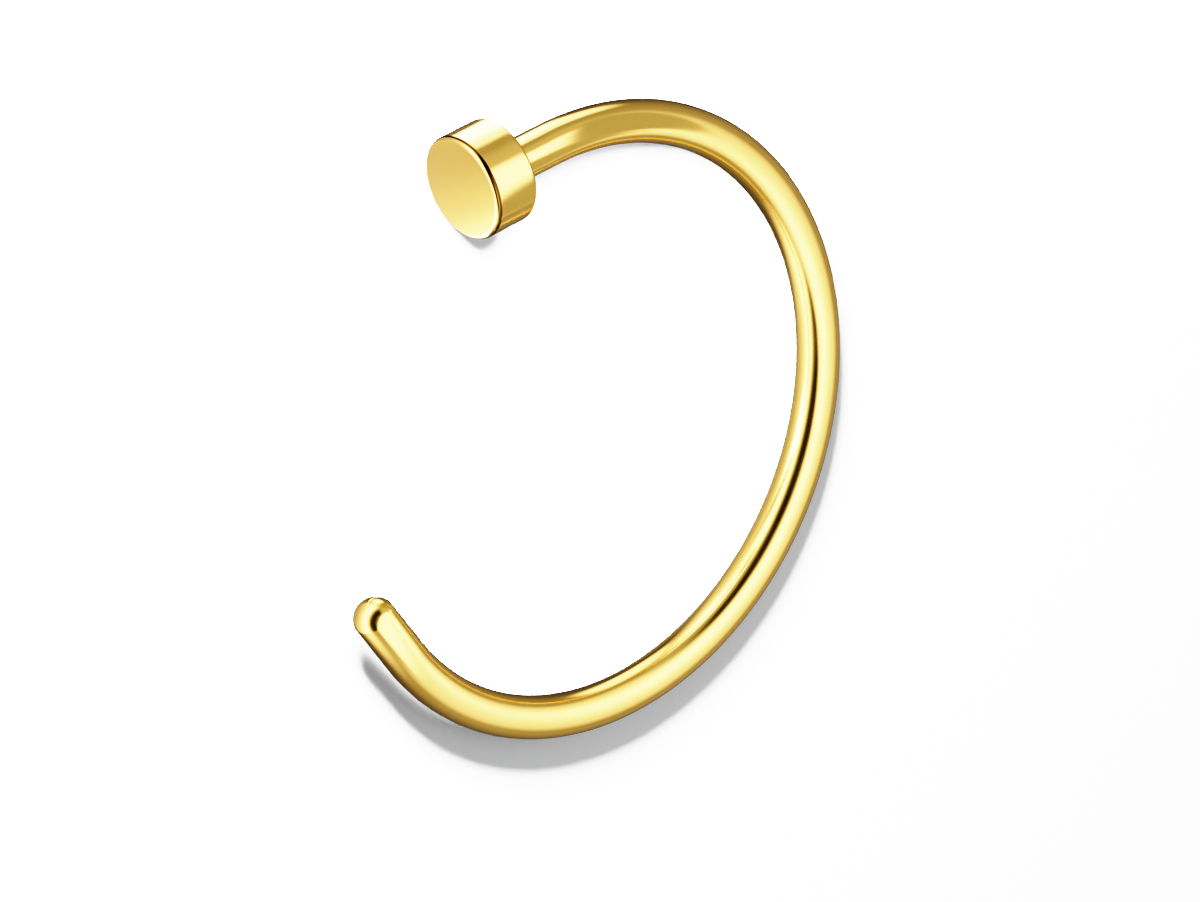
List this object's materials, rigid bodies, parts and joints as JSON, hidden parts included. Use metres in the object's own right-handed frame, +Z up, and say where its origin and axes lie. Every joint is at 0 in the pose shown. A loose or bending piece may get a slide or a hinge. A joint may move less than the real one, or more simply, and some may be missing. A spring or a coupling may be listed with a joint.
{
  "type": "nose hoop with a flat disc stop",
  "caption": "Open C-shaped nose hoop of round gold wire, with a flat disc stop at one end and a rounded tip at the other.",
  "frame": {"origin": "the middle of the bounding box, on the surface that the hoop lies on", "axes": "+Z up from the surface, -Y towards the hoop's opening, with the disc stop on the -X side of the opening and the rounded tip on the +X side"},
  "size_m": [0.0118, 0.011, 0.002],
  "materials": {
    "polished_gold": "yellow gold plate, polished to a mirror"
  },
  "bodies": {
    "root": {"nose_hoop": "polished_gold"}
  },
  "joints": []
}
